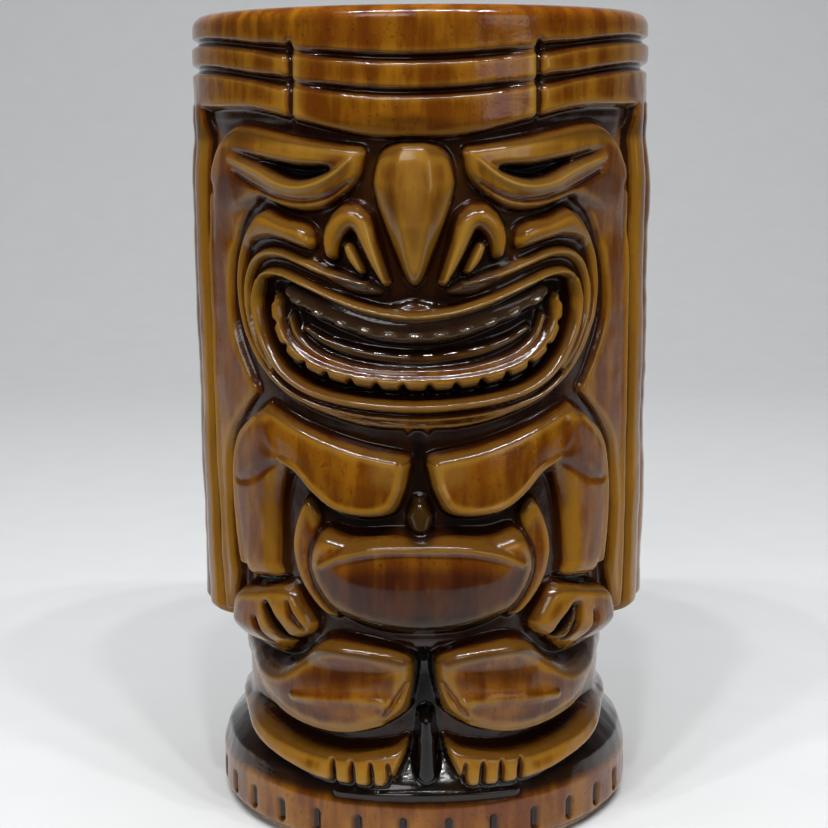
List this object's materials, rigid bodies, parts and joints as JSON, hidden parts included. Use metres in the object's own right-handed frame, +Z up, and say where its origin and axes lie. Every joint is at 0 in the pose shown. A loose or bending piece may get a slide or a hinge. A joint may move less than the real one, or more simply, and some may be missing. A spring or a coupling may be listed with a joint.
{
  "type": "tiki mug",
  "caption": "Tall glazed drinking cup with a carved grimacing figure in relief, a headband, long hair and a round base.",
  "frame": {"origin": "centre of the flat underside, on the surface the mug stands on", "axes": "+Z up along the cup's axis, the carved face looks along -Y, +X is to the right of the face as seen by a viewer in front of it"},
  "size_m": [0.0887, 0.0914, 0.155],
  "materials": {
    "amber_glaze": "glossy translucent amber glaze, pooled darker in the carving",
    "brown_glaze": "glossy reddish brown glaze",
    "dark_glaze": "glossy near black glaze where it runs thick",
    "bare_clay": "unglazed fired clay, matt"
  },
  "bodies": {
    "root": {"band_lower_back": "amber_glaze", "band_lower_front": "amber_glaze", "band_lower_left": "amber_glaze", "band_lower_left_back": "amber_glaze", "band_lower_right": "amber_glaze", "band_lower_right_back": "amber_glaze", "band_upper_back": "amber_glaze", "band_upper_front": "amber_glaze", "band_upper_left": "amber_glaze", "band_upper_left_back": "amber_glaze", "band_upper_right": "amber_glaze", "band_upper_right_back": "amber_glaze", "base": "bare_clay", "belly": "brown_glaze", "breastbone": "dark_glaze", "cheek_left": "amber_glaze", "cheek_right": "amber_glaze", "chest_arm_left": "amber_glaze", "chest_arm_right": "amber_glaze", "cup": "brown_glaze", "eyelid_left": "amber_glaze", "eyelid_right": "amber_glaze", "face_side_left": "amber_glaze", "face_side_right": "amber_glaze", "foot_left": "amber_glaze", "foot_right": "amber_glaze", "hair_back_left": "brown_glaze", "hair_back_right": "brown_glaze", "hair_side_left": "brown_glaze", "hair_side_right": "brown_glaze", "hand_left": "amber_glaze", "hand_right": "amber_glaze", "lip_lower": "amber_glaze", "lip_upper": "amber_glaze", "nose": "amber_glaze", "nostril_left": "amber_glaze", "nostril_right": "amber_glaze", "plinth": "amber_glaze", "post": "dark_glaze", "rim": "amber_glaze", "step": "dark_glaze", "teeth_lower": "amber_glaze", "teeth_upper": "amber_glaze", "thigh_left": "brown_glaze", "thigh_right": "brown_glaze", "tongue": "dark_glaze"}
  },
  "joints": []
}
